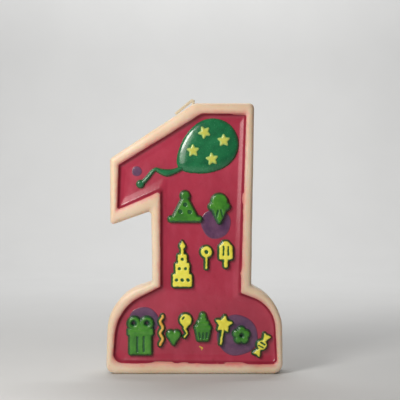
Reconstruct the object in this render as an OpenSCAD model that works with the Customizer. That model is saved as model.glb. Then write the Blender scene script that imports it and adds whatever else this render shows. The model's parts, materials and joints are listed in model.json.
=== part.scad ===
// Number birthday candle: a moulded wax numeral "1" on a bell-shaped foot, with a raised rim,
// a sunken coloured face, raised party reliefs and a cotton wick that bends at the top edge.
// The front faces -Y, the candle stands on z = 0, and x = 0 is the middle of the foot.

/* [Numeral] */
// Height of the wax numeral, without its wick
candle_h = 114; // [112:0.5:118]
// Width across the foot
foot_w = 74.4; // [73:0.2:76]
// Thickness from the front of the rim to the flat back
body_t = 16; // [14:0.5:20]
// Left side of the stem, from the middle of the foot
stem_left = -17.7; // [-18.4:0.1:-16.8]
// Right side of the stem, from the middle of the foot
stem_right = 24.5; // [24:0.1:25.2]
// Reach of the flag to the left of the middle of the foot
flag_reach = 35.6; // [34.5:0.1:36.4]
// Height of the flag's lowest corner
flag_low = 62.6; // [62:0.1:65]
// Height of the flag's upper corner, where the slanted edge starts
flag_high = 90.7; // [89:0.1:92]
// Angle of the slanted top edge above the horizontal
slant = 33.3; // [31:0.1:35]
// Height of the bevel along the two long edges of the underside
bevel_h = 0.15; // [0.1:0.05:0.2]
// Width of that bevel at the ends of the foot
bevel_w = 0.15; // [0.1:0.05:0.3]
// Extra width of that bevel at the middle, so that the candle stands on the ends of its foot
bevel_hollow = 0.35; // [0.2:0.05:0.5]

/* [Face] */
// Depth of the red face below the front of the rim
face_d = 2.5; // [2.2:0.1:3]
// Thickness of the red wax layer
layer_t = 0.6; // [0.4:0.1:1]
// Thickness of the purple dots, which lie flush in the red layer
dot_t = 0.3; // [0.2:0.05:0.35]

/* [Reliefs] */
// Height of the dark green wax of each relief above the red face
relief_h = 1.8; // [1.2:0.1:2]
// Thickness of the bright top on each relief
top_t = 0.35; // [0.2:0.05:0.4]
// How far the dark green wax stands out round each bright top
relief_edge = 0.5; // [0.2:0.05:0.55]

/* [Balloon] */
// Radius of the balloon's round end
balloon_r = 10.9; // [9:0.1:11]
// Length from the middle of the round end to the neck
balloon_l = 17.3; // [15:0.1:18]
// Direction from the middle of the balloon to its neck
neck_dir = 214; // [205:1:225]
// Height of the balloon above the red face
balloon_h = 1.7; // [1:0.1:1.9]
// Thickness of the stars on the balloon
star_t = 0.6; // [0.3:0.1:0.6]
// Radius of a star, measured to where its points would meet before rounding
star_r = 3.1; // [2.6:0.1:3.4]
// Height of the string above the red face
string_h = 1.4; // [0.8:0.1:1.8]

/* [Wick] */
// Radius of the cotton wick
wick_r = 0.7; // [0.5:0.05:0.75]
// Length of the free end, from where it bends to its tip
wick_l = 10; // [8:0.2:10.4]
// Distance of the wick from the middle of the foot, along x
wick_x = -0.6; // [-1:0.1:0.4]
// Height of the bend above the top edge
bend_h = 2.2; // [2:0.05:2.6]
// Angle of the free end below the horizontal
wick_fall = 39.5; // [34:0.5:40]
// Gap between the free end and the top of the wick inside the wax, at the bend
bend_gap = 0.3; // [0.3:0.05:0.5]
// Height of the lower end of the wick inside the wax
wick_low = 12; // [8:1:30]

/* [Hidden] */
$fn = 48;
FRONT = -body_t / 2;
BACK = body_t / 2;
FACE = FRONT + face_d;
LAYER_BACK = FACE + layer_t;

DOTS = [[9, 63.2, 6.5], [-21.4, 21.9, 6.5], [18, 16.1, 8.9], [-24.3, 85.3, 2.2]];
STARS = [[4.2, 101.6, 46], [12.3, 98.2, 92], [-0.6, 93.9, 93], [7.4, 90.4, 98]];
BALLOON = [7.6, 96.7];

PARTY_HAT = [-4, 70.1];
ICE_CREAM = [10.4, 69.5];
TIERED_CAKE = [-5.2, 46.2];
LOLLIPOP = [4.9, 48.9];
ICE_LOLLY = [13.1, 50.2];
GIFT_BOX = [-22.8, 16.1];
STREAMER = [-14, 18.3];
HEART = [-8.8, 15.4];
TOY_BALLOON = [-3.8, 20.2];
CUPCAKE = [3.5, 19.8];
STAR_WAND = [11.8, 18.2];
FLOWER = [19.7, 16.2];
SWEET = [28.2, 12.2];

RELIEFS = [
    "party_hat", "ice_cream", "tiered_cake", "lollipop", "ice_lolly", "gift_box", "streamer",
    "heart", "toy_balloon", "cupcake", "star_wand", "flower", "sweet"
];

// Corners of the numeral, anticlockwise from the lower left: x, z and corner radius.
// Each corner of the edge of the recess belongs to the corner of the outside at the same place.
slant_top = (candle_h - flag_high) / tan(slant) - flag_reach;
OUTSIDE = [
    [-foot_w / 2 - 0.1, 0, 4],
    [foot_w / 2, 0, 4.5],
    [foot_w / 2 - 0.4, 30, 19],
    [stem_right - 0.6, 37.3, 1.5],
    [stem_right + 0.7, candle_h, 2.2],
    [slant_top, candle_h, 6],
    [-flag_reach, flag_high, 1.5],
    [-flag_reach + 0.1, flag_low, 1.2],
    [stem_left - 0.5, flag_low + 6, 1.2],
    [stem_left - 0.1, 38.6, 2],
    [-foot_w / 2 + 0.9, 32.6, 20]
];
RECESS = [
    [-foot_w / 2 + 3, 5, 3.5],
    [foot_w / 2 - 2.6, 4.4, 2],
    [foot_w / 2 - 3.8, 28.7, 14],
    [stem_right - 5.3, 34, 1.2],
    [stem_right - 2.9, candle_h - 4.7, 1.2],
    [slant_top + 3.3, candle_h - 4.7, 6],
    [-flag_reach + 3.9, flag_high - 2.9, 1.2],
    [-flag_reach + 3.3, flag_low + 6.6, 0.7],
    [stem_left + 3.5, flag_low + 14.7, 1.2],
    [stem_left + 3.6, 36.7, 1.1],
    [-foot_w / 2 + 4.8, 27.6, 20]
];
// Steps that round the outside, from the back to the front: how far across the rim, where 0 is the
// outside and 1 the edge of the recess, and the y where the step starts
OUTER_STEPS = [
    [0.2, BACK], [0.06, BACK - 0.4], [0, BACK - 1.1],
    [0.05, FRONT + 2], [0.16, FRONT + 1.1], [0.32, FRONT + 0.4]
];
// Steps of the recess, from its floor to the front, in the same measures
INNER_STEPS = [[1.22, LAYER_BACK], [1.08, FACE - 0.5], [0.9, FRONT + 1.1], [0.72, FRONT + 0.4]];

function unit(v) = v / norm(v);
function lerp(a, b, t) = a + (b - a) * t;
function spin(p, angle) = [p[0] * cos(angle) - p[1] * sin(angle), p[0] * sin(angle) + p[1] * cos(angle)];
function arc_steps(r) = r > 8 ? 10 : r > 3 ? 5 : 4;

// Arc that rounds corner b between its neighbours a and c
function corner_arc(a, b, c, r, steps) =
    let (
        to_a = unit(a - b),
        to_c = unit(c - b),
        half = acos(to_a * to_c) / 2,
        middle = b + unit(to_a + to_c) * r / sin(half),
        first = b + to_a * r / tan(half) - middle,
        last = b + to_c * r / tan(half) - middle,
        sweep = 180 - 2 * half
    )
    [for (i = [0:steps]) middle
        + (first * sin(sweep * (1 - i / steps)) + last * sin(sweep * i / steps)) / sin(sweep)];

function xz(corner) = [corner[0], corner[1]];

// Outline through corners given as x, z and radius
function rounded(corners, steps) =
    let (n = len(corners))
    [for (i = [0:n - 1]) each corner_arc(
        xz(corners[(i + n - 1) % n]), xz(corners[i]), xz(corners[(i + 1) % n]),
        corners[i][2], steps[i])];

// Corners moved outwards by g, each radius following
function grown(corners, g) =
    let (n = len(corners))
    [for (i = [0:n - 1])
        let (
            b = xz(corners[i]),
            along_in = unit(b - xz(corners[(i + n - 1) % n])),
            along_out = unit(xz(corners[(i + 1) % n]) - b),
            out_in = [along_in[1], -along_in[0]],
            out_out = [along_out[1], -along_out[0]],
            moved = b + (out_in + out_out) * g / (1 + out_in * out_out),
            bulges = cross(along_in, along_out) > 0
        )
        [moved[0], moved[1], max(corners[i][2] + (bulges ? g : -g), 0.05)]];

// Outline of the numeral at a place across the rim
function numeral(t) =
    rounded([for (i = [0:len(OUTSIDE) - 1]) lerp(OUTSIDE[i], RECESS[i], t)],
        [for (corner = OUTSIDE) arc_steps(corner[2])]);

// Egg shape of the balloon, drawn in by the given distance
function egg(inset) =
    [for (u = [0:7.5:352.5])
        let (
            along = cos(u) * ((cos(u) > 0 ? balloon_l : balloon_r) - inset),
            across = sin(u) * (balloon_r - inset) * (1 - 0.3 * pow(max(cos(u), 0), 2))
        )
        BALLOON + spin([along, across], neck_dir)];

// Smooth curve through hand-placed points
function smooth(points, steps) =
    let (n = len(points))
    [for (i = [0:n - 2]) for (s = [0:steps - 1])
        let (
            t = s / steps,
            p0 = points[max(i - 1, 0)],
            p1 = points[i],
            p2 = points[i + 1],
            p3 = points[min(i + 2, n - 1)]
        )
        (2 * p1 + (p2 - p0) * t + (2 * p0 - 5 * p1 + 4 * p2 - p3) * t * t
            + (3 * p1 - p0 - 3 * p2 + p3) * t * t * t) / 2,
     points[n - 1]];

// Outline of a band with round ends along a line of points given as x, z and half width
function band(points) =
    let (
        last = len(points) - 1,
        ways = [for (i = [0:last])
            unit(xz(points[min(i + 1, last)]) - xz(points[max(i - 1, 0)])) * points[i][2]]
    )
    [
        for (i = [0:last - 1]) xz(points[i]) + spin(ways[i], -90),
        for (turn = [-90:22.5:90]) xz(points[last]) + spin(ways[last], turn),
        for (i = [last - 1:-1:1]) xz(points[i]) + spin(ways[i], 90),
        for (turn = [90:22.5:247.5]) xz(points[0]) + spin(ways[0], turn)
    ];

function at_depth(outline, y) = [for (p = outline) [p[0], y, p[1]]];

// Closed solid through rings of points, each anticlockwise from the front
module loft(rings) {
    n = len(rings[0]);
    last = len(rings) - 1;
    points = [for (ring = rings) each ring];
    sides = [for (k = [0:last - 1]) for (i = [0:n - 1])
        let (a = k * n + i, b = k * n + (i + 1) % n)
        each [[a, a + n, b + n], [a, b + n, b]]];
    caps = [[for (i = [0:n - 1]) i], [for (i = [n - 1:-1:0]) last * n + i]];
    polyhedron(points, concat(caps, sides), convexity = 10);
}

// Flat piece with its back at y and its front a thickness nearer the viewer
module raised(y, thickness) {
    translate([0, y, 0]) rotate([90, 0, 0]) linear_extrude(thickness) children();
}

module blob(corners, g, steps = 4) {
    polygon(rounded(grown(corners, g), [for (corner = corners) steps]));
}

module box_shape(left, low, right, high, r, g) {
    blob([[left, low, r], [right, low, r], [right, high, r], [left, high, r]], g);
}

module disc(x, z, r) {
    translate([x, z]) circle(r);
}

module flame(x, low, size, g) {
    disc(x, low + size * 0.36, size * 0.36 + g);
    blob([[x - size * 0.34, low + size * 0.42, 0.1], [x + size * 0.34, low + size * 0.42, 0.1],
          [x, low + size, 0.15]], g);
}

// Ten corners of a five-pointed star: the tips at r and the notches between them at a share of r
function star_corners(r, turn) =
    [for (i = [0:9])
        let (tip = i % 2 == 0, reach = tip ? r : r * 0.53, angle = turn + 36 * i)
        [reach * cos(angle), reach * sin(angle), tip ? 0.42 : 0.3]];

// The outlines of the reliefs. g widens the dark green wax, and marks cuts the gaps in the bright top.

module party_hat_shape(g, marks) {
    difference() {
        union() {
            blob([[-5.6, -4.6, 0.6], [5.6, -4.6, 0.6], [0, 6.4, 0.9]], g);
            box_shape(-6.9, -6, 6.9, -3.9, 0.95, g);
            disc(0, 4.9, 1.75 + g);
        }
        if (marks) {
            disc(-2.1, -1.9, 0.75);
            disc(1.9, -2, 0.75);
            disc(0, 1.1, 0.75);
        }
    }
}

module ice_cream_shape(g, marks) {
    difference() {
        union() {
            blob([[0, -7, 0.7], [3.7, 0.8, 0.5], [-3.7, 0.8, 0.5]], g);
            disc(0, 2.9, 3.25 + g);
            for (x = [-3, 0, 3]) disc(x, 0.9, 1.35 + g);
        }
        if (marks) {
            for (x = [-1.05, 1.05]) translate([x, -2]) rotate(x * 22) square([0.45, 3.4], center = true);
        }
    }
}

module tiered_cake_shape(g, marks) {
    difference() {
        union() {
            box_shape(-4.1, -9.6, 4.1, -4.2, 0.7, g);
            box_shape(-3, -5.2, 3, 0.4, 0.6, g);
            box_shape(-1.95, -0.6, 1.95, 4.1, 0.5, g);
            box_shape(-0.65, 3.2, 0.65, 6.9, 0.3, g);
            flame(0, 6.4, 3.3, g);
        }
        if (marks) {
            for (x = [-2.4, 0, 2.4]) disc(x, -6.7, 0.6);
            for (x = [-1.3, 1.3]) disc(x, -2, 0.55);
            disc(0, 2, 0.5);
        }
    }
}

module lollipop_shape(g, marks) {
    difference() {
        union() {
            disc(0, 2.4, 2.4 + g);
            box_shape(-0.5, -4.8, 0.5, 1, 0.4, g);
        }
        if (marks) disc(0, 2.4, 0.7);
    }
}

module ice_lolly_shape(g, marks) {
    difference() {
        union() {
            blob([[-2.9, -2.1, 0.6], [2.9, -2.1, 0.6], [2.9, 5.6, 2.5], [-2.9, 5.6, 2.5]], g, 6);
            box_shape(-0.85, -5.6, 0.85, -1, 0.6, g);
        }
        if (marks) {
            for (x = [-1, 1]) translate([x, 1.5]) square([0.5, 4], center = true);
        }
    }
}

module gift_box_shape(g, marks) {
    difference() {
        union() {
            box_shape(-4.6, -7.9, 4.6, 1, 0.6, g);
            box_shape(-5.3, 0.2, 5.3, 2.9, 0.6, g);
            for (side = [-1, 1]) translate([side * 2.6, 5.1]) circle(2.7 + g);
            disc(0, 3.6, 1.3 + g);
        }
        for (side = [-1, 1]) translate([side * 2.8, 5.3]) circle(1.2 - g);
        if (marks) {
            for (side = [-1, 1]) translate([side * 1.35, -3.6]) square([0.5, 6.6], center = true);
        }
    }
}

module streamer_shape(g) {
    polygon(band([for (z = [-6:0.5:6]) [0.5 * sin(z * 75), z, 0.58 + g]]));
}

module heart_shape(g) {
    for (side = [-1, 1]) disc(side * 1.25, 1.3, 1.5 + g);
    blob([[-2.68, 0.95, 0.15], [0, -3.5, 0.5], [2.68, 0.95, 0.15], [0, 2.2, 0.2]], g);
}

module toy_balloon_shape(g, marks) {
    difference() {
        union() {
            disc(0, 2.5, 2.55 + g);
            blob([[-2.1, 1.5, 0.3], [0, -1.5, 0.4], [2.1, 1.5, 0.3]], g);
            polygon(band([for (z = [-4.6:0.4:-0.2]) [0.5 * sin(z * 90), z, 0.4 + g]]));
        }
        if (marks) translate([-0.9, 3.3]) rotate(40) square([0.45, 1.4], center = true);
    }
}

module cupcake_shape(g, marks) {
    difference() {
        union() {
            blob([[-2.2, -5.8, 0.5], [2.2, -5.8, 0.5], [3.1, -0.9, 0.4], [-3.1, -0.9, 0.4]], g);
            box_shape(-3.4, -1.7, 3.4, 1, 1.2, g);
            box_shape(-2.5, 0.1, 2.5, 2.8, 1.2, g);
            box_shape(-1.5, 2, 1.5, 4.3, 1, g);
            disc(0, 4.7, 1.1 + g);
        }
        if (marks) {
            for (x = [-1.3, 0, 1.3]) translate([x, -3.8]) rotate(-x * 6) square([0.4, 2.6], center = true);
        }
    }
}

module star_wand_shape(g) {
    rotate(-9) {
        translate([0, 2.8]) blob(star_corners(3.8, 90), g, 3);
        box_shape(-0.5, -6.1, 0.5, 1.5, 0.4, g);
    }
}

module flower_shape(g) {
    difference() {
        union() {
            for (i = [0:4]) rotate(90 + 72 * i) translate([2, 0]) circle(1.5 + g);
            circle(1.9 + g);
        }
        circle(0.95 - g);
    }
}

module sweet_shape(g, marks) {
    wrapper_end = [
        [1.1, -0.1, 0.05], [4.9, -1.7, 0.35], [4.4, 0, 0.2], [4.9, 1.7, 0.35], [1.1, 0.1, 0.05]
    ];
    rotate(60) difference() {
        union() {
            circle(2.05 + g);
            for (side = [0, 180]) rotate(side) blob(wrapper_end, g);
        }
        if (marks) {
            for (x = [-0.75, 0.75]) translate([x, 0]) square([0.42, 2.1], center = true);
        }
    }
}

// Dark green wax of one relief, standing on the red face
module relief(place) {
    color("#2a6b45") raised(FACE, relief_h) translate(place) children();
}

// Bright wax on top of one relief
module relief_top(place, tint) {
    color(tint) raised(FACE - relief_h, top_t) translate(place) children();
}

BRIGHT_GREEN = "#4c8c34";
YELLOW = "#cfc656";
ORANGE = "#e0aa48";

module party_hat() { relief(PARTY_HAT) party_hat_shape(relief_edge, false); }
module party_hat_top() { relief_top(PARTY_HAT, BRIGHT_GREEN) party_hat_shape(0, true); }
module ice_cream() { relief(ICE_CREAM) ice_cream_shape(relief_edge, false); }
module ice_cream_top() { relief_top(ICE_CREAM, BRIGHT_GREEN) ice_cream_shape(0, true); }
module tiered_cake() { relief(TIERED_CAKE) tiered_cake_shape(relief_edge, false); }
module tiered_cake_top() { relief_top(TIERED_CAKE, YELLOW) tiered_cake_shape(0, true); }
module lollipop() { relief(LOLLIPOP) lollipop_shape(relief_edge, false); }
module lollipop_top() { relief_top(LOLLIPOP, YELLOW) lollipop_shape(0, true); }
module ice_lolly() { relief(ICE_LOLLY) ice_lolly_shape(relief_edge, false); }
module ice_lolly_top() { relief_top(ICE_LOLLY, YELLOW) ice_lolly_shape(0, true); }
module gift_box() { relief(GIFT_BOX) gift_box_shape(relief_edge, false); }
module gift_box_top() { relief_top(GIFT_BOX, BRIGHT_GREEN) gift_box_shape(0, true); }
module streamer() { relief(STREAMER) streamer_shape(relief_edge); }
module streamer_top() { relief_top(STREAMER, ORANGE) streamer_shape(0); }
module heart() { relief(HEART) heart_shape(relief_edge); }
module heart_top() { relief_top(HEART, BRIGHT_GREEN) heart_shape(0); }
module toy_balloon() { relief(TOY_BALLOON) toy_balloon_shape(relief_edge, false); }
module toy_balloon_top() { relief_top(TOY_BALLOON, YELLOW) toy_balloon_shape(0, true); }
module cupcake() { relief(CUPCAKE) cupcake_shape(relief_edge, false); }
module cupcake_top() { relief_top(CUPCAKE, BRIGHT_GREEN) cupcake_shape(0, true); }
module star_wand() { relief(STAR_WAND) star_wand_shape(relief_edge); }
module star_wand_top() { relief_top(STAR_WAND, YELLOW) star_wand_shape(0); }
module flower() { relief(FLOWER) flower_shape(relief_edge); }
module flower_top() { relief_top(FLOWER, BRIGHT_GREEN) flower_shape(0); }
module sweet() { relief(SWEET) sweet_shape(relief_edge, false); }
module sweet_top() { relief_top(SWEET, YELLOW) sweet_shape(0, true); }

// Slice of the numeral for each step, each reaching the start of the next one and the last one end_y
module stepped(steps, end_y) {
    for (i = [0:len(steps) - 1])
        let (next_y = i < len(steps) - 1 ? steps[i + 1][1] : end_y)
            raised(steps[i][1], steps[i][1] - next_y) polygon(numeral(steps[i][0]));
}

// Bevel along one long edge of the underside, at y = edge, widening inwards to the middle of the foot
module foot_bevel(edge, inwards) {
    half = foot_w / 2 - 1;
    translate([0, 0, bevel_h]) mirror([0, 0, 1]) linear_extrude(1) polygon([
        [-half, edge + inwards * bevel_w],
        [0, edge + inwards * (bevel_w + bevel_hollow)],
        [half, edge + inwards * bevel_w],
        [half, edge - inwards],
        [-half, edge - inwards]
    ]);
}

// Cream wax numeral with its recess and the channel that the wick fills
module wax_body() {
    color("#e6d0b0") difference() {
        stepped(OUTER_STEPS, FRONT);
        stepped(INNER_STEPS, FRONT - 1);
        translate([wick_x, 0, wick_low]) cylinder(r = wick_r, h = candle_h);
        foot_bevel(OUTER_STEPS[2][1], -1);
        foot_bevel(OUTER_STEPS[3][1], 1);
    }
}

// Red wax that covers the floor of the recess, with round pockets for the dots
module red_layer() {
    color("#ad3846") difference() {
        raised(LAYER_BACK, layer_t) polygon(numeral(INNER_STEPS[0][0]));
        for (dot = DOTS) translate([dot[0], FACE - 1, dot[1]]) rotate([-90, 0, 0])
            cylinder(r = dot[2], h = 1 + dot_t);
    }
}

module purple_dot(i) {
    color("#6b4c65") translate([DOTS[i][0], FACE, DOTS[i][1]]) rotate([-90, 0, 0])
        cylinder(r = DOTS[i][2], h = dot_t);
}

module balloon() {
    color("#1c6f44") loft([
        at_depth(egg(0), FACE),
        at_depth(egg(0), FACE - 0.4 * balloon_h),
        at_depth(egg(0.25), FACE - 0.7 * balloon_h),
        at_depth(egg(0.65), FACE - 0.9 * balloon_h),
        at_depth(egg(1.2), FACE - balloon_h)
    ]);
}

module balloon_star(i) {
    color("#bcc56a") raised(FACE - balloon_h, star_t)
        translate([STARS[i][0], STARS[i][1]]) blob(star_corners(star_r, STARS[i][2]), 0, 3);
}

// String from the balloon's neck across the flag, thick then thin, with a round end
module balloon_string() {
    end = [-22.8, 79.9];
    line = smooth([
        [-5.5, 86.6, 0.8], [-8.4, 85.3, 1], [-11.6, 84.6, 1.4], [-14.4, 85.3, 1], [-16.3, 86.1, 0.65],
        [-18, 84.9, 0.7], [-19.6, 82.8, 0.8], [-21.3, 81, 0.9], [end[0], end[1], 1]
    ], 4);
    color("#1c6f44") raised(FACE, string_h) difference() {
        union() {
            polygon(band(line));
            disc(end[0], end[1], 1.7);
        }
        polygon(egg(0));
    }
}

// Wick inside the wax, with a round top just below the bend
module wick_core() {
    straight_l = candle_h + bend_h - (2 * wick_r + bend_gap) / cos(wick_fall) - wick_low;
    color("#efe6d2") translate([wick_x, 0, wick_low]) {
        cylinder(r = wick_r, h = straight_l);
        translate([0, 0, straight_l]) sphere(r = wick_r);
    }
}

// Free end of the wick, pressed flat along the slanted edge
module wick_tip() {
    color("#efe6d2") translate([wick_x, 0, candle_h + bend_h]) rotate([0, -90 - wick_fall, 0]) {
        sphere(r = wick_r);
        cylinder(r = wick_r, h = wick_l);
    }
}

wax_body();
red_layer();
wick_core();
wick_tip();
balloon();
balloon_string();
for (i = [1:len(STARS)]) balloon_star(i - 1);
for (i = [1:len(DOTS)]) purple_dot(i - 1);
party_hat();
party_hat_top();
ice_cream();
ice_cream_top();
tiered_cake();
tiered_cake_top();
lollipop();
lollipop_top();
ice_lolly();
ice_lolly_top();
gift_box();
gift_box_top();
streamer();
streamer_top();
heart();
heart_top();
toy_balloon();
toy_balloon_top();
cupcake();
cupcake_top();
star_wand();
star_wand_top();
flower();
flower_top();
sweet();
sweet_top();
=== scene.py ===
"""Number birthday candle: cast wax numeral, sunken red face, raised wax reliefs and a braided wick."""

import json
import math

import bmesh
import bpy
import numpy as np
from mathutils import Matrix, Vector, noise


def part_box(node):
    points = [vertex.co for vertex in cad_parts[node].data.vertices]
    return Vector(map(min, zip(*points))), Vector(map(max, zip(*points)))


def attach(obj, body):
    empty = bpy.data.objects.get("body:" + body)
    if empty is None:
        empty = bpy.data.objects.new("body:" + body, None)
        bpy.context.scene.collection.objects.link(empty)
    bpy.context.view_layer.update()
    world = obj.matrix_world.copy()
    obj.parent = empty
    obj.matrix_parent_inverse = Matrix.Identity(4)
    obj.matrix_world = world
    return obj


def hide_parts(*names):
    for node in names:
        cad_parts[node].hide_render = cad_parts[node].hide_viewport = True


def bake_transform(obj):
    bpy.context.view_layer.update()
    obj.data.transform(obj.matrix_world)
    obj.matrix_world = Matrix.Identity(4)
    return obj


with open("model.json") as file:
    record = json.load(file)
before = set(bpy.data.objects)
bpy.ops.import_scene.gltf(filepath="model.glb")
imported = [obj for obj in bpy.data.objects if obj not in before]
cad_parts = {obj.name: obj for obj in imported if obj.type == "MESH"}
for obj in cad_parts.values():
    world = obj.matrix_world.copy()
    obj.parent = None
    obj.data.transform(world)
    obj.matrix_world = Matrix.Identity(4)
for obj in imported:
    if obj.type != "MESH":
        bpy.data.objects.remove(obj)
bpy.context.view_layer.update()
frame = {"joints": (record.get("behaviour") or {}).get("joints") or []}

# Lengths are in millimetres up to the last step of each piece, and MM turns them into metres
MM = 0.001
WAX_LOW, WAX_HIGH = (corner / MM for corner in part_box("wax_body"))
TOP_Z = WAX_HIGH.z
FRONT = WAX_LOW.y
BACK = WAX_HIGH.y
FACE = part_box("red_layer")[0].y / MM
RELIEF_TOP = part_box("party_hat")[0].y / MM
PAINT_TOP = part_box("party_hat_top")[0].y / MM
BALLOON_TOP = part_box("balloon")[0].y / MM
STRING_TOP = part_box("balloon_string")[0].y / MM


# ---------------------------------------------------------------- camera, light and studio

def make_camera():
    """Level view of the decorated front."""
    data = bpy.data.cameras.new("front_camera")
    data.sensor_width = 36
    data.lens = 90.2
    camera = bpy.data.objects.new("front_camera", data)
    camera.location = Vector((2.3, -428, 73.2)) * MM
    camera.rotation_euler = (math.radians(90), 0, 0)
    bpy.context.scene.collection.objects.link(camera)
    bpy.context.scene.camera = camera
    bpy.context.scene.view_settings.view_transform = "Standard"


def make_softbox(name, place, aim, width, height, watts, tint):
    """Rectangular lamp that the camera doesn't see."""
    data = bpy.data.lights.new(name, "AREA")
    data.shape = "RECTANGLE"
    data.size = width * MM
    data.size_y = height * MM
    data.energy = watts
    data.color = tint
    lamp = bpy.data.objects.new(name, data)
    lamp.visible_camera = False
    lamp.location = Vector(place) * MM
    lamp.rotation_euler = (Vector(aim) - Vector(place)).to_track_quat("-Z", "Y").to_euler()
    bpy.context.scene.collection.objects.link(lamp)


def make_studio():
    """Pale floor that curves up into a backdrop behind the candle, and a soft room."""
    near, far, half_width, height, radius = -900, 760, 1100, 1100, 250
    section = [(near, 0)] + [
        (far - radius + radius * math.sin(a), radius - radius * math.cos(a))
        for a in np.linspace(0, math.pi / 2, 17)
    ] + [(far, height)]
    bm = bmesh.new()
    rows = [[bm.verts.new((x, y, z)) for x in (-half_width, half_width)] for y, z in section]
    for (a, b), (c, d) in zip(rows, rows[1:]):
        bm.faces.new((a, b, d, c))
    floor = finish_mesh("studio_floor", bm, studio_paper())

    world = bpy.data.worlds.new("soft_room")
    world.use_nodes = True
    glow = world.node_tree.nodes["Background"].inputs
    glow["Color"].default_value = (1, 0.93, 0.85, 1)
    glow["Strength"].default_value = 0.15
    bpy.context.scene.world = world
    make_softbox("key_softbox", (-160, -215, 205), (-20, 0, 80), 90, 90, 0.56, (1, 0.97, 0.92))
    make_softbox("front_softbox", (-130, -260, 120), (-20, 0, 70), 120, 120, 0.16, (1, 0.96, 0.9))
    make_softbox("backdrop_softbox", (0, 330, 700), (0, 760, 150), 700, 200, 5, (1, 0.99, 0.97))


# ---------------------------------------------------------------- materials

class Wire:
    """A value inside a material, so that shader maths reads as plain arithmetic."""

    def __init__(self, finish, socket):
        self.finish = finish
        self.socket = socket

    def maths(self, operation, *values):
        return self.finish.node("ShaderNodeMath", {"operation": operation}, *values)

    def __add__(self, other):
        return self.maths("ADD", self, other)

    def __sub__(self, other):
        return self.maths("SUBTRACT", self, other)

    def __rsub__(self, other):
        return self.maths("SUBTRACT", other, self)

    def __mul__(self, other):
        return self.maths("MULTIPLY", self, other)

    __radd__ = __add__
    __rmul__ = __mul__

    def ramp(self, low, high):
        """0 below low, 1 above high and smooth between."""
        return self.finish.node(
            "ShaderNodeMapRange", {"interpolation_type": "SMOOTHSTEP"}, self, low, high, 0.0, 1.0
        )


class Finish:
    """One procedural material, built round a Principled shader."""

    def __init__(self, name, **constants):
        self.material = bpy.data.materials.new(name)
        self.material.use_nodes = True
        self.nodes = self.material.node_tree.nodes
        self.links = self.material.node_tree.links
        self.shader = self.nodes["Principled BSDF"]
        for socket, value in constants.items():
            self.shader.inputs[socket.replace("_", " ")].default_value = value
        self.here = self.node("ShaderNodeTexCoord", {}, output="Object")

    def plug(self, target, value):
        """Link or set one socket."""
        if isinstance(value, Wire):
            self.links.new(value.socket, target)
        elif isinstance(value, tuple) and len(value) == 3 and target.type == "RGBA":
            target.default_value = (*value, 1)
        else:
            target.default_value = value

    def node(self, kind, settings, *values, output=0, **named):
        """A node of any type: its settings first, then its inputs in order or by identifier."""
        made = self.nodes.new(kind)
        for setting, value in settings.items():
            setattr(made, setting, value)
        for target, value in zip(made.inputs, values):
            self.plug(target, value)
        for key, value in named.items():
            target = next(s for s in made.inputs if key in (s.identifier, s.name.replace(" ", "_")))
            self.plug(target, value)
        if isinstance(output, str):
            return Wire(self, next(s for s in made.outputs if output in (s.identifier, s.name)))
        return Wire(self, made.outputs[output])

    def cloud(self, size, detail=2.0, roughness=0.5, stretch=(1, 1, 1)):
        """Soft noise from 0 to 1 whose features measure about size millimetres."""
        scaled = self.node(
            "ShaderNodeVectorMath", {"operation": "MULTIPLY"}, self.here,
            tuple(s / (size * MM) for s in stretch),
        )
        return self.node(
            "ShaderNodeTexNoise", {}, Vector=scaled, Scale=1.0, Detail=detail, Roughness=roughness
        )

    def mix(self, amount, first, second):
        """First colour where amount is 0, second where it is 1."""
        return self.node(
            "ShaderNodeMix", {"data_type": "RGBA"}, output="Result_Color",
            Factor_Float=amount, A_Color=first, B_Color=second,
        )

    def stored(self, name):
        """A number kept on the mesh."""
        return self.node("ShaderNodeAttribute", {"attribute_name": name}, output="Fac")

    def bump(self, height, distance):
        """Bumps up to distance millimetres high."""
        return self.node("ShaderNodeBump", {}, Strength=1.0, Distance=distance * MM, Height=height)

    def use(self, **inputs):
        """Feed the shader, and give the finished material."""
        for socket, value in inputs.items():
            self.plug(self.shader.inputs[socket.replace("_", " ")], value)
        return self.material


def srgb(red, green, blue):
    """Linear colour from the everyday 0 to 255 values."""
    def linear(v):
        v /= 255
        return v / 12.92 if v <= 0.04045 else ((v + 0.055) / 1.055) ** 2.4
    return linear(red), linear(green), linear(blue)


def studio_paper():
    """Pale grey paper of the floor and backdrop, faintly clouded."""
    f = Finish("studio_paper", Roughness=0.9)
    tone = f.mix(f.cloud(60), (0.60, 0.61, 0.62), (0.64, 0.65, 0.66))
    return f.use(Base_Color=tone)


def cream_wax():
    """Cream wax, faintly mottled, with red dye bled into the inner side of the rim."""
    f = Finish(
        "cream_wax", Subsurface_Weight=0.6, Subsurface_Radius=(1.0, 0.5, 0.3),
        Subsurface_Scale=0.003, Coat_Roughness=0.25, IOR=1.44,
    )
    broad = f.cloud(14, 3)
    fine = f.cloud(1.6, 3, 0.6)
    tone = f.mix(broad.ramp(0.35, 0.68), srgb(231, 207, 181), srgb(239, 220, 198))
    tone = f.mix((fine - 0.5) * 0.5 + 0.25, tone, srgb(224, 194, 162))
    pits = f.cloud(0.9, 1).ramp(0.7, 0.78)
    tone = f.mix(pits * 0.3, tone, srgb(206, 168, 128))
    spread = f.cloud(11, 2).ramp(0.3, 0.7) * 0.35 + 0.5
    bleed = (f.stored("across") + (f.cloud(2.4, 3) - 0.5) * 0.3).ramp(0.5, 1.02)
    tone = f.mix(bleed * spread, tone, srgb(226, 116, 118))
    waves = f.cloud(5, 2) * 1.6 + fine * 0.22 - pits * 0.3
    return f.use(
        Base_Color=tone, Roughness=(0.36 + fine * 0.16), Coat_Weight=(0.12 + broad * 0.12),
        Normal=f.bump(waves, 0.12),
    )


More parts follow.
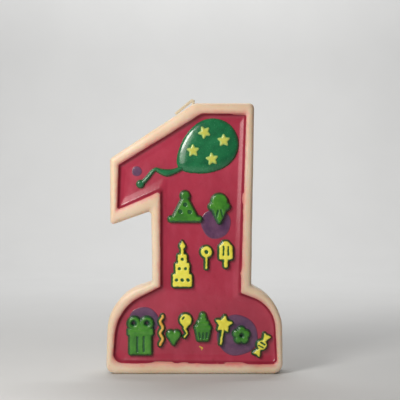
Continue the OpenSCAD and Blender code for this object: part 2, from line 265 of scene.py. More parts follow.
def red_wax():
    """Glossy raspberry dye coat, a little thinner and paler where it climbs the walls, with a band of
    painted shade down the walls of the recess.
    """
    f = Finish("red_wax", Subsurface_Weight=0.06, Subsurface_Radius=(1.0, 0.2, 0.2),
               Subsurface_Scale=0.001, Coat_Roughness=0.12, IOR=1.47)
    broad = f.cloud(16, 3)
    streaks = f.cloud(5, 4, 0.6, (1, 1, 0.45))
    fine = f.cloud(0.7, 2)
    tone = f.mix(broad.ramp(0.3, 0.7), srgb(167, 42, 68), srgb(182, 51, 77))
    # The paler pink streaks are partly random tone in the dye and partly painted reflection streaks of the
    # glossy face
    tone = f.mix(streaks.ramp(0.45, 0.8) * 0.35, tone, srgb(198, 76, 104))
    tone = f.mix(f.cloud(2.2, 3).ramp(0.62, 0.8) * 0.3, tone, srgb(138, 24, 42))
    across = f.stored("across")
    thin = 1 - (across + (f.cloud(1.5, 2) - 0.5) * 0.1).ramp(0.93, 0.99)
    tone = f.mix(thin * 0.3, tone, srgb(196, 84, 88))
    # Painted shade: a dark red band down the wall of the recess stands in for the shadow the rim casts there
    painted_wall_shade = across.ramp(0.96, 1.02) * (1 - across.ramp(1.12, 1.32))
    tone = f.mix(painted_wall_shade * 0.45, tone, srgb(112, 18, 32))
    waves = f.cloud(3.2, 2) * 1.2 + fine * 0.12
    return f.use(Base_Color=tone, Roughness=0.24 + streaks * 0.16, Coat_Weight=0.5,
                 Normal=f.bump(waves, 0.1))


def dyed_wax(name, dark, mid, light, edge=None, gloss=0.5, rough=0.24, edge_reach=0.35, bumps=0.06):
    """Coloured wax mottled between three tones, with another colour showing at a thin painted edge."""
    f = Finish(name, Subsurface_Weight=0.08, Subsurface_Radius=(0.6, 1.0, 0.4),
               Subsurface_Scale=0.0008, Coat_Roughness=0.12, IOR=1.46)
    patches = f.cloud(4.5, 3, 0.55)
    specks = f.cloud(0.8, 3, 0.6)
    tone = f.mix(patches.ramp(0.3, 0.6), dark, mid)
    tone = f.mix((patches * 0.6 + specks * 0.4).ramp(0.5, 0.72) * 0.8, tone, light)
    if edge:
        depth = f.stored("depth") + (f.cloud(0.9, 2) - 0.5) * 0.22
        tone = f.mix((1 - depth.ramp(0.0, edge_reach)) * 0.85, tone, edge)
    return f.use(Base_Color=tone, Roughness=rough + specks * 0.12, Coat_Weight=gloss,
                 Normal=f.bump(f.cloud(1.8, 2) + specks * 0.15, bumps))


def wick_cotton():
    """Waxed cotton, with the twist of its yarns."""
    f = Finish("wick_cotton", Sheen_Weight=0.3, Sheen_Roughness=0.5, Roughness=0.75)
    fibre = f.cloud(0.12, 3, 0.6, (1, 1, 0.35))
    tone = f.mix(fibre.ramp(0.3, 0.7), srgb(206, 190, 160), srgb(244, 236, 216))
    tone = f.mix(f.cloud(2, 2).ramp(0.5, 0.75) * 0.4, tone, srgb(214, 188, 150))
    return f.use(Base_Color=tone, Normal=f.bump(fibre, 0.05))


# ---------------------------------------------------------------- mesh helpers, in millimetres

def finish_mesh(name, bm, material, numbers=None):
    """Object from a bmesh in millimetres. numbers maps an attribute's name to one value a vertex."""
    mesh = bpy.data.meshes.new(name)
    bmesh.ops.recalc_face_normals(bm, faces=bm.faces)
    for vert in bm.verts:
        vert.co *= MM
    for face in bm.faces:
        face.smooth = True
    bm.to_mesh(mesh)
    bm.free()
    for key, values in (numbers or {}).items():
        mesh.attributes.new(key, "FLOAT", "POINT").data.foreach_set("value", values)
    mesh.materials.append(material)
    piece = bpy.data.objects.new(name, mesh)
    bpy.context.scene.collection.objects.link(piece)
    return piece


def place_piece(piece, slot, *nodes):
    """Fix a piece of the candle in place of its CAD nodes."""
    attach(piece, "candle")
    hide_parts(*nodes)


def unit(v):
    """Vector of the same direction, one long."""
    return v / np.linalg.norm(v)


def rounded(corners, arc_points):
    """Closed outline with each corner x, z, radius rounded, as one list of arcs."""
    n = len(corners)
    arcs = []
    for i in range(n):
        b = np.array(corners[i][:2], float)
        to_a = unit(np.array(corners[i - 1][:2]) - b)
        to_c = unit(np.array(corners[(i + 1) % n][:2]) - b)
        half = math.acos(float(to_a @ to_c)) / 2
        r = corners[i][2]
        middle = b + unit(to_a + to_c) * r / math.sin(half)
        first = b + to_a * r / math.tan(half) - middle
        last = b + to_c * r / math.tan(half) - middle
        sweep = math.pi - 2 * half
        arcs.append([
            middle + (first * math.sin(sweep * (1 - t)) + last * math.sin(sweep * t)) / math.sin(sweep)
            for t in np.linspace(0, 1, arc_points[i])
        ])
    return arcs


def along_sides(arcs, counts):
    """The outline's points, with the straight sides between arcs divided evenly."""
    points = []
    for i, arc in enumerate(arcs):
        points += arc
        after = arcs[(i + 1) % len(arcs)][0]
        points += [arc[-1] + (after - arc[-1]) * k / counts[i] for k in range(1, counts[i])]
    return np.array(points)


def ripple(x, y, z, size, seed=0.0):
    """Smooth noise from -1 to 1, in features of about size millimetres."""
    return noise.noise(Vector((x / size + seed, y / size - seed, z / size + 2 * seed)))


# ---------------------------------------------------------------- the numeral

SLANT = math.radians(33.3)
SLANT_TOP = (TOP_Z - 90.7) / math.tan(SLANT) - 35.6
# Corners of the outside and of the edge of the recess, anticlockwise from the lower left, each as
# x, z and the radius that rounds it
OUTSIDE = [
    (-37.3, 0, 4), (37.2, 0, 4.5), (36.8, 30, 19), (23.9, 37.3, 1.5), (25.2, TOP_Z, 2.2),
    (SLANT_TOP, TOP_Z, 6), (-35.6, 90.7, 1.5), (-35.5, 62.6, 1.2), (-18.2, 68.6, 1.2),
    (-17.8, 38.6, 2), (-36.3, 32.6, 20),
]
RECESS = [
    (-34.2, 5, 3.5), (34.6, 4.4, 2), (33.4, 28.7, 14), (19.2, 34, 1.2), (21.6, TOP_Z - 4.7, 1.2),
    (SLANT_TOP + 3.3, TOP_Z - 4.7, 6), (-31.7, 87.8, 1.2), (-32.3, 69.2, 0.7), (-14.2, 77.3, 1.2),
    (-14.1, 36.7, 1.1), (-32.4, 27.6, 20),
]
# Mean distance from the outside to the edge of the recess
RIM_WIDTH = 4.2
# Section of the rim: how far across it, where 0 is the outside and 1 the edge of the recess, and how
# far behind its front
RIM = [
    (0, 2.9), (0.004, 2.3), (0.02, 1.75), (0.05, 1.25), (0.095, 0.85), (0.155, 0.52), (0.23, 0.28),
    (0.32, 0.12), (0.42, 0.03), (0.52, 0), (0.62, 0.02), (0.72, 0.08), (0.8, 0.17), (0.87, 0.3),
    (0.92, 0.46), (0.96, 0.7), (1.0, 1.02), (1.04, 1.36), (1.08, 1.66), (1.12, 1.88), (1.17, 2.07),
    (1.24, 2.22), (1.32, 2.34), (1.42, 2.46), (1.54, 2.57), (1.65, 2.65), (1.75, 2.7),
]


def rim_depth(t):
    """Distance of the wax behind the front of the rim, at a place across it."""
    return np.interp(t, [p[0] for p in RIM], [p[1] for p in RIM])


# Spacing of the points along the straight sides, and the number of points round each corner
SIDE_STEP = 1.1
ARC_POINTS = [22 if corner[2] > 8 else 12 if corner[2] > 3 else 9 for corner in OUTSIDE]
OUTER_ARCS = rounded(OUTSIDE, ARC_POINTS)
SIDE_LENGTHS = [
    float(np.linalg.norm(after[0] - arc[-1]))
    for arc, after in zip(OUTER_ARCS, OUTER_ARCS[1:] + OUTER_ARCS[:1])
]
SIDE_COUNTS = [max(2, round(length / SIDE_STEP)) for length in SIDE_LENGTHS]
OUTER_LINE = along_sides(OUTER_ARCS, SIDE_COUNTS)
RECESS_LINE = along_sides(rounded(RECESS, ARC_POINTS), SIDE_COUNTS)


def numeral(t):
    """Outline at a place across the rim: one number, or one for each point."""
    t = np.asarray(t, float).reshape(-1, 1)
    return OUTER_LINE + (RECESS_LINE - OUTER_LINE) * t


def bridge(bm, first, second):
    """Faces between two closed rings of the same number of vertices."""
    n = len(first)
    for i in range(n):
        bm.faces.new((first[i], first[(i + 1) % n], second[(i + 1) % n], second[i]))


def ring_piece(name, rings, material):
    """Piece lofted through rings given as outline, y and place across the rim."""
    bm = bmesh.new()
    loops, across = [], []
    for outline, ys, ts in rings:
        ys = np.broadcast_to(ys, len(outline))
        ts = np.broadcast_to(ts, len(outline))
        loops.append([bm.verts.new((x, y, z)) for (x, z), y in zip(outline, ys)])
        across += list(ts)
    for first, second in zip(loops, loops[1:]):
        bridge(bm, first, second)
    for loop in (loops[0], loops[-1]):
        edges = [bm.edges.get((a, b)) for a, b in zip(loop, loop[1:] + loop[:1])]
        bmesh.ops.triangle_fill(bm, edges=edges, use_beauty=True)
    return finish_mesh(name, bm, material, {"across": across})


def cast_unevenly(outline, y):
    """Outline moved by the unevenness of a casting, which fades out where it would change the size."""
    broad, fine = 0.16, 0.05
    fade, foot_fade = 1.5, 3
    uneven = []
    for x, z in outline:
        out_x = broad * ripple(x, y, z, 13) + fine * ripple(x, y, z, 3.5, 4.2)
        out_z = broad * ripple(x, y, z, 13, 9.1) + fine * ripple(x, y, z, 3.5, 7.7)
        from_side = max(0, (WAX_HIGH.x - abs(x)) / fade)
        from_foot = z / foot_fade
        from_top = max(0, (TOP_Z - z) / fade)
        share = min(1, from_side, from_foot, from_top)
        uneven.append((x + out_x * share, z + out_z * share))
    return np.array(uneven)


def make_wax_body():
    """Cream numeral: a faintly sunken back, rounded edges, upright walls and the raised rim."""
    sunk = 0.25
    # How far inwards from the outside, and how far in front of the back
    back_edge = [
        (7.5, sunk), (4.5, sunk * 0.8), (2.6, sunk * 0.4), (1.7, 0), (1.1, 0.06), (0.62, 0.25),
        (0.28, 0.58), (0.08, 1.05), (0, 1.6),
    ]
    sections = [(inward / RIM_WIDTH, BACK - rise, 0) for inward, rise in back_edge]
    sections += [(0, y, 0) for y in np.linspace(BACK - 3, FRONT + 4.2, 8)]
    sections += [(t, FRONT + depth, t) for t, depth in RIM]
    rings = [(cast_unevenly(numeral(t), y), y, across) for t, y, across in sections]
    piece = ring_piece("wax_numeral", rings, cream_wax())
    place_piece(piece, "cream_wax", "wax_body")


def coat_depth(t, edge):
    """Distance of the red coat's surface behind the front of the rim."""
    return rim_depth(t) - np.interp(t - edge, [0, 0.03, 0.5], [0.01, 0.08, 0.2])


def face_height(x, z):
    """The y of the red coat at places on the face."""
    gaps = np.hypot(x[:, None] - RECESS_LINE[:, 0], z[:, None] - RECESS_LINE[:, 1])
    nearest = gaps.argmin(axis=1)
    widths = np.hypot(*(RECESS_LINE - OUTER_LINE)[nearest].T)
    return FRONT + coat_depth(1 + gaps.min(axis=1) / widths, 1)


def make_red_layer():
    """Dye coat over the floor of the recess, climbing the wall to an edge laid on by hand."""
    # Places across the rim: the coat's edge, the foot of the wall behind it, and the coat's floor
    edge_t, wall_foot_t, floor_t = 0.95, 1.18, 1.75
    behind = 0.12
    edge = np.array([
        edge_t + 0.035 * ripple(x, 0, z, 8, 3.3) + 0.025 * ripple(x, 0, z, 2.4, 5.1)
        for x, z in RECESS_LINE
    ])
    rings = [(numeral(floor_t), FACE + 0.35, floor_t), (numeral(1.3), FACE + 0.3, 1.3)]
    for share in (0.35, 0.12, 0.0):
        t = edge + (wall_foot_t - edge) * share
        rings.append((numeral(t - 0.02), FRONT + rim_depth(t) + behind, t))
    for share in np.linspace(0, 1, 18) ** 1.8:
        t = edge + (floor_t - edge) * share
        rings.append((numeral(t), FRONT + coat_depth(t, edge), t))
    piece = ring_piece("red_dye_coat", rings, red_wax())
    place_piece(piece, "red_wax", "red_layer")


# ---------------------------------------------------------------- distance fields for the reliefs

def disc(x, z, r):
    """Round disc. Each field gives the distance to its outline, which is negative inside."""
    return lambda X, Z: np.hypot(X - x, Z - z) - r


def bar(ax, az, bx, bz, r, end_r=None):
    """Round-ended bar, tapering from r to end_r."""
    end_r = r if end_r is None else end_r

    def field(X, Z):
        ux, uz = bx - ax, bz - az
        along = np.clip(((X - ax) * ux + (Z - az) * uz) / (ux * ux + uz * uz), 0, 1)
        return np.hypot(X - ax - along * ux, Z - az - along * uz) - (r + (end_r - r) * along)
    return field


def shape(points, r):
    """Polygon of straight sides, rounded outwards by r."""
    def field(X, Z):
        nearest = np.full(X.shape, 1e9)
        inside = np.zeros(X.shape, bool)
        for (ax, az), (bx, bz) in zip(points, points[1:] + points[:1]):
            nearest = np.minimum(nearest, bar(ax, az, bx, bz, 0)(X, Z))
            if az != bz:
                hit = (Z < az) != (Z < bz)
                inside ^= hit & (X < ax + (Z - az) / (bz - az) * (bx - ax))
        return np.where(inside, -nearest, nearest) - r
    return field


def box(left, low, right, high, r):
    """Box with corners rounded inwards by r."""
    return shape([(left + r, low + r), (right - r, low + r), (right - r, high - r), (left + r, high - r)], r)


def join(*fields, melt=0.35):
    """Union whose inner corners are filled as if melted together."""
    def field(X, Z):
        total = fields[0](X, Z)
        for other in fields[1:]:
            value = other(X, Z)
            h = np.clip(0.5 + 0.5 * (value - total) / melt, 0, 1)
            total = value + (total - value) * h - melt * h * (1 - h)
        return total
    return field


def cut(base, *holes):
    """The first shape without the others."""
    def field(X, Z):
        total = base(X, Z)
        for hole in holes:
            total = np.maximum(total, -hole(X, Z))
        return total
    return field


def turned(base, degrees):
    """Shape turned anticlockwise about its own middle."""
    c, s = math.cos(math.radians(degrees)), math.sin(math.radians(degrees))
    return lambda X, Z: base(X * c + Z * s, -X * s + Z * c)


def moved(base, x, z):
    """Shape moved from the origin to its place."""
    return lambda X, Z: base(X - x, Z - z)


def star(r, turn):
    """Five-pointed star with round tips, the first of them turned from the x axis."""
    points = []
    for i in range(10):
        reach = r if i % 2 == 0 else r * 0.52
        angle = math.radians(turn + 36 * i)
        points.append((reach * math.cos(angle), reach * math.sin(angle)))
    return shape(points, 0.46)


def gradient(field, x, z, step=0.02):
    """Unit direction straight out of a shape at one place."""
    X = np.array([x + step, x - step, x, x])
    Z = np.array([z, z, z + step, z - step])
    v = field(X, Z)
    g = np.array([v[0] - v[1], v[2] - v[3]])
    return g / max(np.linalg.norm(g), 1e-9)


def flat_patch(field, reach, cell):
    """Grid of cells over the area where field is negative, cut along its outline.

    Gives the points as x, z and depth inside the outline, the faces, and the outline's pairs of points.
    """
    left, low, right, high = reach
    margin, merge = cell * 2.5, cell * 0.22
    xs = np.arange(left, right + cell, cell)
    zs = np.arange(low, high + cell, cell)
    distance = field(*np.meshgrid(xs, zs, indexing="ij"))
    bm = bmesh.new()
    grid = {}
    for i, j in zip(*np.nonzero(distance < margin)):
        grid[i, j] = bm.verts.new((xs[i], zs[j], distance[i, j]))
    for i, j in grid:
        ring = [grid.get(k) for k in ((i, j), (i + 1, j), (i + 1, j + 1), (i, j + 1))]
        if all(ring):
            bm.faces.new(ring)
    bmesh.ops.bisect_plane(
        bm, geom=bm.verts[:] + bm.edges[:] + bm.faces[:], dist=1e-6,
        plane_co=(0, 0, 0), plane_no=(0, 0, 1), clear_outer=True,
    )
    bmesh.ops.remove_doubles(bm, verts=bm.verts[:], dist=merge)
    bmesh.ops.delete(bm, geom=[v for v in bm.verts if not v.link_faces], context="VERTS")
    bm.verts.index_update()
    points = np.array([(v.co.x, v.co.y, max(0.0, -v.co.z)) for v in bm.verts])
    faces = [[v.index for v in face.verts] for face in bm.faces]
    outline = [tuple(v.index for v in edge.verts) for edge in bm.edges if edge.is_boundary]
    bm.free()
    return points, faces, outline


def relief_piece(name, field, reach, cell, top, sides, material):
    """Closed piece over the area where field is negative.

    reach is left, low, right, high. top(x, z, depth) gives the front surface's y, and sides lists
    how far out and at which y the walls pass on their way to the face.
    """
    points, faces, outline = flat_patch(field, reach, cell)
    rim = sorted({k for pair in outline for k in pair})
    x, z, depth = points.T
    depth[rim] = 0
    bm = bmesh.new()
    depths = []

    def add(px, y, pz, inside):
        depths.append(inside)
        return bm.verts.new((px, y, pz))

    front = [add(*place) for place in zip(x, top(x, z, depth), z, depth)]
    for face in faces:
        bm.faces.new([front[k] for k in face])
    outward = {k: gradient(field, x[k], z[k]) for k in rim}
    level = {k: front[k] for k in rim}
    for out, y in sides:
        below = {k: add(x[k] + outward[k][0] * out, y, z[k] + outward[k][1] * out, -out) for k in rim}
        for a, b in outline:
            bm.faces.new((level[a], level[b], below[b], below[a]))
        level = below
    rear_y = sides[-1][1]
    rear = [level[k] if k in level else add(x[k], rear_y, z[k], -0.5) for k in range(len(points))]
    for face in faces:
        bm.faces.new([rear[k] for k in reversed(face)])
    return finish_mesh(name, bm, material, {"depth": depths})


def swell(depth, run):
    """0 at an edge and 1 from run inwards, round in section."""
    share = 1 - np.minimum(depth / run, 1)
    return np.sqrt(np.maximum(0, 1 - share * share))


def pillow(crest, drop, run):
    """Front surface that rounds over towards its edge: drop lower there, over a run."""
    return lambda x, z, depth: crest + drop * (1 - swell(depth, run))


# ---------------------------------------------------------------- balloon, stars, string and dots

BALLOON_AT = (7.6, 96.7)
BALLOON_R = 10.9
BALLOON_L = 17.3
NECK = math.radians(214)
# How much narrower the balloon is drawn towards its neck
NECK_DRAW = 0.3


def egg_field(X, Z):
    """Distance to the balloon's outline, round at one end and drawn out to the neck."""
    dx, dz = X - BALLOON_AT[0], Z - BALLOON_AT[1]
    along = dx * math.cos(NECK) + dz * math.sin(NECK)
    side = -dx * math.sin(NECK) + dz * math.cos(NECK)
    u = np.linspace(0, 2 * math.pi, 241)
    reach = np.where(np.cos(u) > 0, BALLOON_L, BALLOON_R)
    px = np.cos(u) * reach
    pz = np.sin(u) * BALLOON_R * (1 - NECK_DRAW * np.maximum(np.cos(u), 0) ** 2)
    near = np.min(np.hypot(along[..., None] - px, side[..., None] - pz), axis=-1)
    half_width = BALLOON_R * (1 - NECK_DRAW * np.clip(along / BALLOON_L, 0, 1) ** 2)
    share = np.hypot(along / np.where(along > 0, BALLOON_L, BALLOON_R), side / half_width)
    return np.where(share < 1, -near, near)


balloon_top = pillow(BALLOON_TOP, FACE - BALLOON_TOP - 0.25, 5.2)


def balloon_surface(x, z):
    """The y of the balloon's front."""
    return balloon_top(x, z, np.maximum(-egg_field(x, z), 0))


def make_balloon(green):
    """Domed balloon standing on the red face."""
    piece = relief_piece(
        "wax_balloon", egg_field, (-9, 84, 20, 108), 0.42, balloon_top,
        [(0.1, FACE - 0.15), (0.2, FACE), (0.22, FACE + 0.1)], green,
    )
    place_piece(piece, "dark_green_wax", "balloon")


def make_stars(yellow):
    """Four stars lying on the balloon's curve, each as x, z and turn."""
    spots = [(4.2, 101.6, 46), (12.3, 98.2, 92), (-0.6, 93.9, 93), (7.4, 90.4, 98)]
    edge_t, crown = 0.08, 0.42
    for number, (x, z, turn) in enumerate(spots, 1):
        field = moved(star(2.25, turn), x, z)

        def top(px, pz, depth):
            return balloon_surface(px, pz) - edge_t - crown * swell(depth, 0.95)
        piece = relief_piece(
            f"star_{number}", field, (x - 3.6, z - 3.6, x + 3.6, z + 3.6), 0.16, top,
            [(0.06, BALLOON_TOP + 0.15), (0.08, BALLOON_TOP + 0.5)], yellow,
        )
        place_piece(piece, "star_yellow_wax", f"balloon_star_{number}")


# Line of the string from the neck to its loose end: x, z and half width
STRING_PATH = [
    (-5.5, 86.6, 0.8), (-8.4, 85.3, 1), (-11.6, 84.6, 1.4), (-14.4, 85.3, 1), (-16.3, 86.1, 0.65),
    (-18, 84.9, 0.7), (-19.6, 82.8, 0.8), (-21.3, 81, 0.9), (-22.8, 79.9, 1),
]


def smooth_path(points, steps):
    """Smooth curve through given points."""
    p = np.array(points, float)
    p = np.vstack([p[0], p, p[-1]])
    out = []
    for a, b, c, d in zip(p, p[1:], p[2:], p[3:]):
        for s in range(steps):
            t = s / steps
            out.append((2 * b + (c - a) * t + (2 * a - 5 * b + 4 * c - d) * t * t
                        + (3 * b - a - 3 * c + d) * t ** 3) / 2)
    out.append(p[-1])
    return out


def make_string(green):
    """String that runs thick and thin, with a drop of wax at its end."""
    line = smooth_path(STRING_PATH, 4)
    bars = [bar(a[0], a[1], b[0], b[1], a[2], b[2]) for a, b in zip(line, line[1:])]
    field = join(*bars, disc(-22.8, 79.9, 1.7), melt=0.12)
    piece = relief_piece(
        "wax_string", field, (-25.5, 77.5, -4, 88.5), 0.2,
        pillow(STRING_TOP, FACE - STRING_TOP - 0.3, 0.95),
        [(0.08, FACE - 0.2), (0.2, FACE), (0.22, FACE + 0.1)], green,
    )
    place_piece(piece, "dark_green_wax", "balloon_string")


def make_dots():
    """Flat dots dabbed on the red, their outlines a little uneven."""
    purple = dyed_wax("purple_wax", srgb(82, 50, 88), srgb(106, 66, 100), srgb(118, 80, 116),
                      edge=srgb(128, 52, 78), gloss=0.5, edge_reach=0.5, bumps=0.05)
    spots = [(9, 63.2, 6.5), (-21.4, 21.9, 6.5), (18, 16.1, 8.9), (-24.3, 85.3, 2.2)]
    for number, (x, z, r) in enumerate(spots, 1):
        def field(X, Z, x=x, z=z, r=r):
            angle = np.arctan2(Z - z, X - x)
            wobble = 0.022 * np.sin(3 * angle + r) + 0.014 * np.sin(5 * angle + 2 * x)
            return np.hypot(X - x, Z - z) - r * (0.975 + wobble)
        piece = relief_piece(
            f"dot_{number}", field, (x - r - 1, z - r - 1, x + r + 1, z + r + 1), max(0.2, r / 22),
            lambda px, pz, depth: face_height(px, pz) - 0.01 - 0.06 * swell(depth, 0.5),
            [(0.04, FACE + 0.03), (0.05, FACE + 0.12)], purple,
        )
        place_piece(piece, "purple_wax", f"purple_dot_{number}")


# ---------------------------------------------------------------- the thirteen reliefs

def flame(x, low, size):
    """Candle flame: a disc drawn up to a point."""
    return join(disc(x, low + size * 0.36, size * 0.36),
                shape([(x - size * 0.2, low + size * 0.5), (x + size * 0.2, low + size * 0.5),
                       (x, low + size * 0.9)], size * 0.08), melt=0.3)


def wavy(start, end, step, size, rate, r):
    """Upright wavy band. rate is how many degrees of a wave there are to a millimetre."""
    zs = np.arange(start, end, step)
    line = [(size * math.sin(math.radians(rate * z)), z) for z in zs]
    return join(*[bar(*a, *b, r) for a, b in zip(line, line[1:])], melt=0.08)


def relief_shapes():
    """Name: place, half width, half height, outline, gaps in the bright top."""
    return {
        "party_hat": ((-4, 70.1), 7.4, 7.2, join(
            shape([(-4.5, -4), (4.5, -4), (0, 4.6)], 0.6), bar(-5.95, -4.95, 5.95, -4.95, 0.95),
            disc(0, 4.9, 1.75)), [disc(-2.1, -1.9, 0.75), disc(1.9, -2, 0.75), disc(0, 1.1, 0.75)]),
        "ice_cream": ((10.4, 69.5), 5, 7.2, join(
            shape([(0, -5.5), (2.7, 0.3), (-2.7, 0.3)], 0.55), disc(0, 2.9, 3.25), disc(-3, 0.9, 1.35),
            disc(0, 0.9, 1.35), disc(3, 0.9, 1.35)),
            [bar(-1.3, -3.4, -0.55, -0.7, 0.22), bar(1.3, -3.4, 0.55, -0.7, 0.22)]),
        "tiered_cake": ((-5.2, 46.2), 4.8, 10.4, join(
            box(-4.1, -9.6, 4.1, -4.2, 0.7), box(-3, -5.2, 3, 0.4, 0.6), box(-1.95, -0.6, 1.95, 4.1, 0.5),
            box(-0.65, 3.2, 0.65, 6.9, 0.3), flame(0, 6.4, 3.3)),
            [disc(x, -6.7, 0.6) for x in (-2.4, 0, 2.4)] + [disc(-1.3, -2, 0.55), disc(1.3, -2, 0.55),
                                                           disc(0, 2, 0.5)]),
        "lollipop": ((4.9, 48.9), 3.2, 5.5, join(
            disc(0, 2.4, 2.4), bar(0, -4.3, 0, 1, 0.5)), [disc(0, 2.4, 0.7)]),
        "ice_lolly": ((13.1, 50.2), 3.6, 6.3, join(
            shape([(-2.2, -1.4), (2.2, -1.4), (2.2, 3.1), (0.6, 4.9), (-0.6, 4.9), (-2.2, 3.1)], 0.7),
            bar(0, -4.75, 0, -1, 0.85)), [bar(-1, -0.2, -1, 3.2, 0.25), bar(1, -0.2, 1, 3.2, 0.25)]),
        "gift_box": ((-22.8, 16.1), 6, 8.7, cut(join(
            box(-4.6, -7.9, 4.6, 1, 0.6), box(-5.3, 0.2, 5.3, 2.9, 0.6), disc(-2.6, 5.1, 2.7),
            disc(2.6, 5.1, 2.7), disc(0, 3.6, 1.3)), disc(-2.8, 5.3, 1.2), disc(2.8, 5.3, 1.2)),
            [bar(-1.35, -6.6, -1.35, -0.6, 0.25), bar(1.35, -6.6, 1.35, -0.6, 0.25)]),
        "streamer": ((-14, 18.3), 1.9, 7.2, wavy(-6, 6.1, 0.25, 0.5, 75, 0.58), []),
        "heart": ((-8.8, 15.4), 3.4, 4.1, join(
            disc(-1.25, 1.3, 1.5), disc(1.25, 1.3, 1.5),
            shape([(-2.1, 0.7), (0, -2.6), (2.1, 0.7), (0, 1.5)], 0.5)), []),
        "toy_balloon": ((-3.8, 20.2), 3.2, 5.7, join(
            disc(0, 2.5, 2.55), shape([(-1.5, 1.4), (0, -0.9), (1.5, 1.4)], 0.45),
            wavy(-4.6, -0.3, 0.3, 0.5, 90, 0.4)), [bar(-1.3, 3.0, -0.7, 3.8, 0.22)]),
        "cupcake": ((3.5, 19.8), 4, 6.4, join(
            shape([(-1.8, -5.3), (1.8, -5.3), (2.6, -1.3), (-2.6, -1.3)], 0.5),
            bar(-2.1, -0.4, 2.1, -0.4, 1.3), bar(-1.2, 1.4, 1.2, 1.4, 1.3), bar(-0.4, 3.1, 0.4, 3.1, 1.1),
            disc(0, 4.7, 1.1)), [bar(-1.35, -4.7, -1.6, -2.6, 0.2), bar(0, -4.8, 0, -2.6, 0.2),
                                 bar(1.35, -4.7, 1.6, -2.6, 0.2)]),
        "star_wand": ((11.8, 18.2), 4.1, 6.8, turned(join(
            moved(star(3.2, 90), 0, 2.8), bar(0, -5.6, 0, 1.5, 0.5)), -9), []),
        "flower": ((19.7, 16.2), 4.1, 4.1, cut(join(*[
            disc(2 * math.cos(math.radians(90 + 72 * i)), 2 * math.sin(math.radians(90 + 72 * i)), 1.5)
            for i in range(5)], disc(0, 0, 1.9)), disc(0, 0, 0.95)), []),
        "sweet": ((28.2, 12.2), 4.2, 5.5, turned(join(
            disc(0, 0, 2.05), shape([(1.5, 0), (4.6, -1.25), (4.3, 0), (4.6, 1.25)], 0.35),
            shape([(-1.5, 0), (-4.6, 1.25), (-4.3, 0), (-4.6, -1.25)], 0.35)), 60),
            [turned(bar(-0.75, -1, -0.75, 1, 0.22), 60), turned(bar(0.75, -1, 0.75, 1, 0.22), 60)]),
    }


TOP_SLOTS = {
    "party_hat": "bright_green_wax", "ice_cream": "bright_green_wax", "gift_box": "bright_green_wax",
    "heart": "bright_green_wax", "cupcake": "bright_green_wax", "flower": "bright_green_wax",
    "streamer": "orange_wax",
}


def make_reliefs(dark_green):
    """Each motif twice: its crowned dark green wax, and the bright coat painted on top."""
    bright_green = dyed_wax("bright_green_wax", srgb(48, 116, 32), srgb(66, 140, 38), srgb(90, 154, 52),
                            edge=srgb(36, 104, 56), gloss=0.4)
    yellow = dyed_wax("yellow_wax", srgb(230, 220, 68), srgb(244, 236, 84), srgb(250, 246, 124),
                      edge=srgb(122, 150, 58), gloss=0.35, rough=0.3)
    orange = dyed_wax("orange_wax", srgb(230, 168, 62), srgb(240, 188, 82), srgb(240, 214, 118),
                      edge=srgb(176, 140, 60), gloss=0.35, rough=0.3)
    tops = {"bright_green_wax": bright_green, "yellow_wax": yellow, "orange_wax": orange}
    grow = 0.4
    walls = [(0.04, RELIEF_TOP + 0.68), (0.1, RELIEF_TOP + 1.05), (0.18, RELIEF_TOP + 1.4),
             (0.28, FACE - 0.12), (0.4, FACE + 0.02), (0.42, FACE + 0.12)]
    crown = pillow(RELIEF_TOP, 0.5, 1.5)
    for name, (place, half_w, half_h, outline, marks) in relief_shapes().items():
        x, z = place
        reach = (x - half_w - 1, z - half_h - 1, x + half_w + 1, z + half_h + 1)

        def wide(X, Z, field=moved(outline, x, z)):
            return field(X, Z) - grow
        piece = relief_piece(f"{name}_relief", wide, reach, 0.2, crown, walls, dark_green)
        place_piece(piece, "dark_green_wax", name)

        def painted(X, Z, field=moved(cut(outline, *marks), x, z), x=x):
            hand = 0.07 * np.sin(2.1 * X + 1.3 * Z) + 0.05 * np.sin(3.7 * Z - 2.9 * X + x)
            return field(X - 0.13, Z - 0.1) + hand

        def coat(px, pz, depth, wide=wide):
            under = crown(px, pz, np.maximum(-wide(px, pz), 0))
            return under - 0.02 - (RELIEF_TOP - PAINT_TOP - 0.03) * swell(depth, 0.5)
        slot = TOP_SLOTS.get(name, "yellow_wax")
        piece = relief_piece(f"{name}_paint", painted, reach, 0.18, coat,
                             [(0, RELIEF_TOP + 0.55)], tops[slot])
        place_piece(piece, slot, f"{name}_top")
    make_stray_speck(orange)


def make_stray_speck(wax):
    """Fleck of wax dropped on the red below the cupcake."""
    x, z = 3.1, 10.9
    field = join(bar(x - 0.9, z + 0.5, x + 0.1, z - 0.1, 0.32, 0.4),
                 bar(x + 0.1, z - 0.1, x - 0.1, z - 0.9, 0.38, 0.2))
    piece = relief_piece(
        "stray_yellow_fleck", field, (x - 2, z - 2, x + 2, z + 2), 0.12,
        lambda px, pz, depth: face_height(px, pz) - 0.02 - 0.1 * swell(depth, 0.3),
        [(0.02, FACE + 0.05)], wax,
    )
    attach(piece, "candle")


# ---------------------------------------------------------------- the wick

WICK_FALL = math.radians(39.5)
# Distance from the hinge at which the rounded bend starts and ends
BEND = 1.25
# Length over which a strand swings to the other side and back
PLAIT_PITCH = 2.6
# Spacing of the strands' rings, in the open and inside the wax
OPEN_STEP, HIDDEN_STEP = 0.16, 0.7


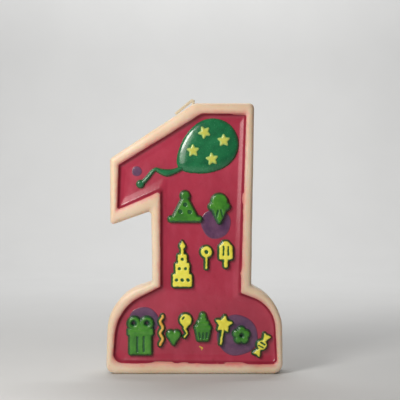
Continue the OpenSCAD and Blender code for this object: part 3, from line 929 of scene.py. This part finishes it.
def add_strand(bm, line, travelled, strand, radius):
    """One of the braid's three strands, swinging from side to side and over and under the others."""
    across = Vector((0, 1, 0))
    swing = radius * 0.52
    rings = []
    for k, place in enumerate(line):
        tangent = (line[min(k + 1, len(line) - 1)] - line[max(k - 1, 0)]).normalized()
        over = tangent.cross(across).normalized()
        phase = 2 * math.pi * (travelled[k] / PLAIT_PITCH + strand / 3)
        middle = place + over * swing * math.sin(phase) + across * swing * 0.55 * math.sin(2 * phase)
        left = travelled[-1] - travelled[k]
        worn = 1 + 0.1 * math.sin(7 * travelled[k] + strand)
        size = radius * 0.46 * worn * min(1, 0.55 + left / 0.5)
        rings.append([
            bm.verts.new(middle + (across * math.cos(a) + over * math.sin(a)) * size)
            for a in np.linspace(0, 2 * math.pi, 8, endpoint=False)
        ])
    for first, second in zip(rings, rings[1:]):
        bridge(bm, first, second)
    bm.faces.new(rings[0])
    bm.faces.new(rings[-1])


def make_wick():
    """Three-strand cotton braid: up out of the wax, folded over and pressed along the slanted edge."""
    core_low, core_high = (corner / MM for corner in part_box("wick_core"))
    tip_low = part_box("wick_tip")[0] / MM
    radius = (core_high.x - core_low.x) / 2
    pivot = Vector(frame["joints"][0]["pos_m"]) / MM
    away = Vector((-math.cos(WICK_FALL), 0, -math.sin(WICK_FALL)))
    length = (pivot.x - tip_low.x - radius * math.sin(WICK_FALL)) / math.cos(WICK_FALL)
    start, end = pivot - Vector((0, 0, BEND)), pivot + away * BEND
    nearly_out = TOP_Z - 3
    line = [Vector((pivot.x, 0, z)) for z in np.arange(core_low.z, nearly_out, HIDDEN_STEP)]
    line += [Vector((pivot.x, 0, z)) for z in np.arange(nearly_out, start.z, OPEN_STEP)]
    line += [start.lerp(pivot, t).lerp(pivot.lerp(end, t), t) for t in np.linspace(0, 1, 12)]
    line += [pivot + away * d for d in np.arange(BEND + OPEN_STEP, length, OPEN_STEP)]
    travelled = [0.0]
    for a, b in zip(line, line[1:]):
        travelled.append(travelled[-1] + (b - a).length)

    bm = bmesh.new()
    for strand in range(3):
        add_strand(bm, line, travelled, strand, radius)
    piece = finish_mesh("braided_wick", bm, wick_cotton())
    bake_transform(piece)
    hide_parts("wick_core", "wick_tip")


# ---------------------------------------------------------------- build

make_camera()
make_studio()
make_wax_body()
make_red_layer()
balloon_green = dyed_wax("balloon_green_wax", srgb(14, 98, 60), srgb(20, 114, 68), srgb(40, 130, 84),
                         gloss=0.6, rough=0.2, bumps=0.08)
relief_green = dyed_wax("dark_green_wax", srgb(26, 78, 42), srgb(34, 92, 50), srgb(52, 108, 62), gloss=0.5)
star_yellow = dyed_wax("star_yellow_wax", srgb(198, 200, 84), srgb(208, 212, 94), srgb(222, 216, 112),
                       edge=srgb(150, 196, 112), gloss=0.3, rough=0.32, edge_reach=0.9)
make_balloon(balloon_green)
make_stars(star_yellow)
make_string(balloon_green)
make_dots()
make_reliefs(relief_green)
make_wick()
